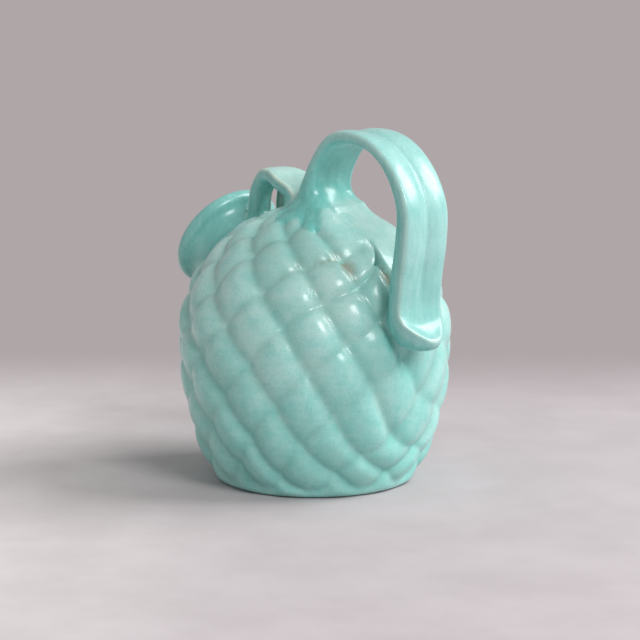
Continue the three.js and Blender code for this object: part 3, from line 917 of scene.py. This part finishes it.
body = quilted_skin()
cut_away(body, inside_room())
cut_away(body, neck_room())
collar = make_collar()
handle = cast_clay("handle_clay", handle_form, *HANDLE_BOX)
loop = cast_clay("loop_clay", loop_form, *LOOP_BOX)


# Numbers for the glazes, one at each point

# Places where the glaze broke to brown, and two of painted shade: x, y, z, reach and strength
BROWN_AND_SHADE_SPOTS = [
    # (69, -5, 128) is painted shadow in the gap between the handle's leg and the body
    (67, -3, 133, 5, 1.4), (69, -5, 128, 5, 2.0), (56, -26, 139, 9, 0.75),
    (49, -34, 142, 8, 0.7), (49, -4, 151, 8, 0.8), (57, -1, 145, 7, 0.8),
    # (-43, 9, 165) is painted shade on the wall seen through the loop's hole
    (-43, 9, 165, 10, 3.0), (-36, -10, 158, 6, 1.2), (27, -30, 157, 2.2, 1.5),
    (-30, -27, 157, 5, 0.8), (4, -19, 171, 3, 0.8), (39, -48, 139, 7, 0.45),
    (37, -57, 132, 6, 0.4), (12, -52, 147, 8, 0.5), (62, -30, 132, 7, 0.4),
]
# Places below the tongue where it ran thick
RUN_SPOTS = [
    (82, -9, 88, 7, 1), (82, 0, 80, 9, 1), (81, 8, 70, 8, 0.8), (81, -6, 66, 6, 0.6),
    (81, -14, 96, 6, 0.7),
]
# A burst bubble in it, low on the near side
PINHOLE = (-8, -77, 44, 1.1, 1.6)


def dabs(spots, points):
    """Sum of soft round dabs at each point"""
    sum_up = np.zeros(len(points))
    for x, y, z, reach, strength in spots:
        away = ((points - [x, y, z]) ** 2).sum(1)
        sum_up += strength * np.exp(-away / reach ** 2)
    return sum_up


def under_shade_and_pool(piece, points):
    """One under the handle and loop, where shade is painted, and at the handle's root, where
    the glaze lies thick
    """
    x, _, z = points.T
    if piece == handle:
        at, aside, _ = place_on_route(handle_route, x, z)
        # Painted shade on the handle's inner face
        under = 1 - smoothstep(aside / STRAP_THICKNESS, -0.5, 0.1)
        root = 1 - smoothstep(at, ROOT_DEPTH + 6, ROOT_DEPTH + 40)
        return np.maximum(under, root)
    if piece == loop:
        aside = place_on_route(loop_route, x, z)[1]
        # Painted shade on the loop's underside
        return 0.9 * (1 - smoothstep(aside, 0, 3))
    return np.full(len(x), 0.45)


def thin_edge(section):
    """One along the crisp edge between a strap's side and its outer face"""
    _, plan, aside, top, _, _ = section
    return np.exp(-((plan + 0.7) ** 2 + (aside - top + 0.7) ** 2) / 0.9)


def note_glaze(piece):
    """Notes how deep in a groove, how near a strap, how thin or thick the glaze lies, and
    where shade and a highlight are painted
    """
    points = points_of(piece)
    x, y, z = points.T
    distance, angle, along = body_place(x, y, z)
    column, row = body_to_quilt(angle, along)
    _, groove = relief(column, row, angle, along, x, y, z)
    groove *= 1 - smoothstep(np.abs(distance), 4, 7)
    _, to_collar, to_handle, to_loop, _ = clay_at(x, y, z)
    near = np.minimum(np.minimum(to_handle, to_loop), to_collar)
    note(piece, "groove", groove)
    note(piece, "strap", 1 - smoothstep(near, 0.8, 3.2))
    edge = np.zeros(len(x))
    if piece == handle:
        section = handle_section(x, y, z)
        low = smoothstep(section[0], tip_at - 34, tip_at - 16) * (1 - smoothstep(y, 0, 6))
        edge = thin_edge(section) * (0.3 + 0.6 * low)
    if piece == loop:
        section = loop_section(x, y, z)
        # The second term pales the loop's outer face: a painted highlight on its top
        edge = thin_edge(section) + 0.35 * smoothstep(section[2] - section[3], -2, 0)
    note(piece, "edge", edge + dabs([PINHOLE], points))
    note(piece, "brown_and_shade", dabs(BROWN_AND_SHADE_SPOTS, points))
    note(piece, "run", np.minimum(dabs(RUN_SPOTS, points), 1))
    note(piece, "shade_and_pool", under_shade_and_pool(piece, points))


for piece in (body, collar, handle, loop):
    note_glaze(piece)


# Shader sums

class Socket:
    """A shader value that Python sums are written with"""

    def __init__(self, nodes, socket):
        self.nodes = nodes
        self.socket = socket

    def sum(self, operation, *values):
        return self.nodes.node("Math", {"operation": operation}, values)

    def __add__(self, other):
        return self.sum("ADD", self, other)

    def __rsub__(self, other):
        return self.sum("SUBTRACT", other, self)

    def __mul__(self, other):
        return self.sum("MULTIPLY", self, other)

    def __pow__(self, other):
        return self.sum("POWER", self, other)

    def between(self, low, high):
        """Nought at low, one at high, with soft ends"""
        return self.nodes.node("MapRange", {"interpolation_type": "SMOOTHSTEP"},
                               [self, low, high, 0.0, 1.0])


class Nodes:
    """The nodes of a material or world. Their inputs are numbers, colours or Sockets."""

    def __init__(self, owner):
        owner.use_nodes = True
        self.owner = owner
        self.tree = owner.node_tree
        self.tree.nodes.clear()

    def node(self, kind, settings=None, inputs=(), output=0):
        node = self.tree.nodes.new("ShaderNode" + kind)
        for name, value in (settings or {}).items():
            setattr(node, name, value)
        pairs = inputs.items() if isinstance(inputs, dict) else enumerate(inputs)
        for name, value in pairs:
            if isinstance(value, Socket):
                self.tree.links.new(value.socket, node.inputs[name])
            else:
                node.inputs[name].default_value = value
        return Socket(self, node.outputs[output])

    def mix(self, share, a, b):
        return self.node("Mix", {"data_type": "RGBA"}, {0: share, 6: a, 7: b}, 2)

    def place(self):
        """Where on the piece, in metres"""
        return self.node("TexCoord", output=3)

    def along(self, direction):
        """How far along a direction"""
        return self.node("VectorMath", {"operation": "DOT_PRODUCT"},
                         [self.place(), tuple(direction)], 1)

    def noise(self, scale, detail, roughness, stretch=(1, 1, 1)):
        place = self.node("Mapping", {}, {"Vector": self.place(), "Scale": stretch})
        return self.node("TexNoise", {}, {"Vector": place, "Scale": scale, "Detail": detail,
                                          "Roughness": roughness})

    def finish(self, surface, kind="Material"):
        node = self.tree.nodes.new("ShaderNodeOutput" + kind)
        self.tree.links.new(surface.socket, node.inputs["Surface"])
        return self.owner


def colour(red, green, blue):
    """Colour as it looks on a screen, nought to 255, made linear"""
    parts = [c / 255 for c in (red, green, blue)]
    return (*[c / 12.92 if c <= 0.04045 else ((c + 0.055) / 1.055) ** 2.4 for c in parts], 1)


# Pale and deep tones of the turquoise, for each way the glaze lies; the thick tones also paint
# the shade under the handle and loop
LOW_TONES = colour(168, 223, 216), colour(126, 208, 200)
HIGH_TONES = colour(184, 219, 213), colour(146, 206, 200)
THIN_TONES = colour(160, 210, 205), colour(134, 195, 189)
THICK_AND_SHADED_TONES = colour(132, 206, 199), colour(96, 182, 173)
WORN = colour(184, 208, 196)
GROOVE_SHADE = colour(112, 160, 149)
SPECK = colour(92, 148, 144)
CLAY_EDGE_AND_SHEEN = colour(214, 230, 214)
BROWN = colour(146, 126, 98)


def glossy_glaze(name):
    """Turquoise glaze: thin on edges, thick at the handle's root, brown at joints; shade and a
    highlight are painted in
    """
    glaze = Nodes(bpy.data.materials.new(name))
    groove, strap, brown_and_shade, run, shade_and_pool, edge = [
        glaze.node("Attribute", {"attribute_name": layer}, output=2)
        for layer in ("groove", "strap", "brown_and_shade", "run", "shade_and_pool", "edge")]
    clouds = glaze.noise(22, 3, 0.6)
    mottle = glaze.noise(130, 4, 0.65)
    specks = glaze.noise(1100, 2, 0.6)
    brushed = glaze.noise(300, 3, 0.6, (1, 1, 0.2))
    strokes = glaze.noise(240, 3, 0.65, (0.25, 0.25, 1.5))
    height = glaze.node("SeparateXYZ", {}, [glaze.place()], 2).between(0.02, 0.16)

    # The quilted body, with painted shade in its grooves
    tone = (clouds * 0.5 + mottle * 0.35 + strokes * 0.15).between(0.38, 0.62)
    quilt = glaze.mix(height, glaze.mix(tone, *LOW_TONES), glaze.mix(tone, *HIGH_TONES))
    worn = (clouds * 0.75 + strokes * 0.25).between(0.46, 0.68)
    quilt = glaze.mix(worn * (1 - groove) * 0.35, quilt, WORN)
    # Painted shade: the grooves are tinted a darker grey-green
    quilt = glaze.mix((groove ** 1.6) * 0.42, quilt, GROOVE_SHADE)

    # Straps and collar, with painted shade under the handle and loop, and the runs below them
    streak = (clouds * 0.6 + brushed * 0.4).between(0.36, 0.66)
    thick = glaze.mix(streak, *THICK_AND_SHADED_TONES)
    # The thick tones paint shade under the handle and loop, and thick glaze at the handle's
    # root
    band = glaze.mix(shade_and_pool, glaze.mix(streak, *THIN_TONES), thick)
    base = glaze.mix(strap, glaze.mix(run * 0.85, quilt, thick), band)

    # Specks, thin edges, a painted highlight on the loop's top, and brown breaks
    base = glaze.mix(specks.between(0.5, 0.74) * 0.28, base, SPECK)
    base = glaze.mix(edge * mottle.between(0.2, 0.55) * 0.8, base, CLAY_EDGE_AND_SHEEN)
    # Brown breaks, and at two spots painted shade
    broken = brown_and_shade * ((groove ** 1.5) * 0.9 + 0.16) * mottle.between(0.2, 0.6)
    base = glaze.mix(broken.between(0.02, 0.75) * 0.7, base, BROWN)
    bump = glaze.node("Bump", {}, {
        "Strength": 0.4, "Distance": 0.001, "Height": clouds * 0.75 + mottle * 0.25})
    return glaze.finish(glaze.node("BsdfPrincipled", {}, {
        "Base Color": base,
        "Roughness": mottle.between(0.3, 0.8) * 0.12 + 0.27,
        "IOR": 1.5,
        "Coat Weight": 0.35,
        "Coat Roughness": 0.13,
        "Normal": bump}))


pieces = {
    "body": (body, glossy_glaze("quilt_glaze"), "body_glaze"),
    "mouth_collar": (collar, glossy_glaze("collar_glaze"), "collar_glaze"),
    "handle_strap": (handle, glossy_glaze("strap_glaze"), "strap_glaze"),
    "bridge_loop": (loop, glossy_glaze("loop_glaze"), "loop_glaze"),
}
for node, (piece, glaze, slot) in pieces.items():
    piece.data.materials.clear()
    piece.data.materials.append(glaze)
    take(piece)
    bpy.ops.object.shade_smooth_by_angle(angle=math.radians(50))
    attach(piece, "root")
    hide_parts(node)


# Studio, in metres: plain floor, pale wall, soft lights and the camera

VIEW_TURN = 49
VIEW_RISE = 9.5
CAMERA_DISTANCE = 1.4
FOCAL_PIXELS = 2333.8
IMAGE_PIXELS = 640
SENSOR = 36
AIM_RIGHT = 0.003  # how far the camera looks past the jug's middle
AIM_UP = -0.0043
SKY_STRENGTH = 0.42
WALL_COLOUR = colour(175, 166, 168)
# Darker and paler patches of the cloth, each on the picture's right and on its left, where
# painted light makes it paler
DARK_CLOTH = colour(188, 180, 182), colour(208, 201, 201)
PALE_CLOTH = colour(196, 188, 191), colour(218, 211, 211)


def direction(turn, rise):
    """Unit step at so many degrees round from the handle and up from level"""
    turn, rise = math.radians(turn), math.radians(rise)
    return Vector((math.cos(turn) * math.cos(rise), math.sin(turn) * math.cos(rise),
                   math.sin(rise)))


middle = Vector((0, 0, 0.1))
back = direction(VIEW_TURN - 90, VIEW_RISE)
right = direction(VIEW_TURN, 0)
up = back.cross(right)


def make_camera():
    aim = middle + right * AIM_RIGHT + up * AIM_UP
    camera = add_object("camera", bpy.data.cameras.new("camera"))
    camera.location = middle + back * CAMERA_DISTANCE
    camera.rotation_euler = (aim - camera.location).to_track_quat("-Z", "Y").to_euler()
    camera.data.sensor_width = SENSOR
    camera.data.lens = FOCAL_PIXELS / IMAGE_PIXELS * SENSOR
    camera.data.clip_end = 20
    bpy.context.scene.camera = camera


def make_floor():
    """Cloth that loses itself in the pale wall some way behind the jug"""
    cloth = Nodes(bpy.data.materials.new("studio_cloth"))
    grain = cloth.noise(14, 4, 0.6)
    # Painted light: the cloth grows paler towards the picture's left
    beside = cloth.along(-right).between(0, 0.2)
    shade = cloth.mix(grain.between(0.3, 0.7), cloth.mix(beside, *DARK_CLOTH),
                      cloth.mix(beside, *PALE_CLOTH))
    ground = cloth.node("BsdfPrincipled", {}, {
        "Base Color": shade, "Roughness": 0.9, "Specular IOR Level": 0.1})
    behind = cloth.along(-back.normalized()).between(0.16, 0.42)
    seen = cloth.node("LightPath", output=0)
    wall = cloth.node("Emission", {}, {"Color": WALL_COLOUR})
    floor = new_piece("studio_floor", bpy.ops.mesh.primitive_plane_add,
                      size=10, location=(0, 0, 0))
    floor.data.materials.append(
        cloth.finish(cloth.node("MixShader", {}, [behind * seen, ground, wall])))


def make_light(name, turn, rise, distance, size, power):
    """Softbox at an angle round and up from the jug, aimed at its middle"""
    away = direction(turn, rise)
    lamp = bpy.data.lights.new(name, "AREA")
    lamp.shape = "RECTANGLE"
    lamp.size, lamp.size_y = size
    lamp.energy = power
    holder = add_object(name, lamp)
    holder.location = middle + away * distance
    holder.rotation_euler = (-away).to_track_quat("-Z", "Y").to_euler()


def make_world():
    """The wall's colour where the camera sees it, and even light from all round"""
    world = bpy.data.worlds.new("studio")
    bpy.context.scene.world = world
    sky = Nodes(world)
    seen = sky.node("LightPath", output=0)
    soft = sky.node("Background", {}, {"Color": (1, 1, 1, 1), "Strength": SKY_STRENGTH})
    wall = sky.node("Background", {}, {"Color": WALL_COLOUR, "Strength": 1.0})
    sky.finish(sky.node("MixShader", {}, [seen, soft, wall]), "World")


make_camera()
make_floor()
make_light("side_window", turn=50, rise=40, distance=3.6, size=(2.1, 2.0), power=110)
make_light("front_window", turn=-10, rise=36, distance=2.6, size=(0.8, 0.9), power=28)
make_world()
bpy.context.scene.view_settings.view_transform = "Standard"
